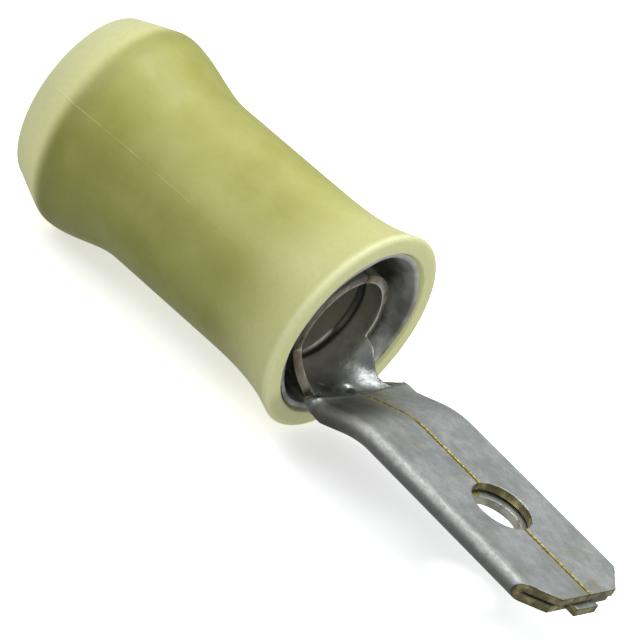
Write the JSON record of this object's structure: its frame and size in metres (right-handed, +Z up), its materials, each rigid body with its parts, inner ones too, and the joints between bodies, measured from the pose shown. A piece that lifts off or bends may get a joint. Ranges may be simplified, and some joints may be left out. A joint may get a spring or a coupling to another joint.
{
  "type": "insulated male tab terminal",
  "caption": "Nylon-insulated male tab crimp terminal: a wire barrel in a waisted translucent sleeve, and a folded flat tab with a hole that plugs into a receptacle.",
  "frame": {"origin": "bottom centre of the overall box, below the middle of the sleeve's front half", "axes": "+X along the sleeve from the wire entry to the tip of the tab, +Z up on the side of the barrel seam, +Y to the left seen from behind the wire entry"},
  "size_m": [0.0298, 0.009, 0.009],
  "materials": {
    "nylon": "satin, translucent yellow-green nylon",
    "tinned_liner": "satin tin plating",
    "tinned_brass": "dull tin plating, bare brass on cut edges"
  },
  "bodies": {
    "root": {"nylon_sleeve": "nylon", "support_sleeve": "tinned_liner", "tab_terminal": "tinned_brass"}
  },
  "joints": []
}
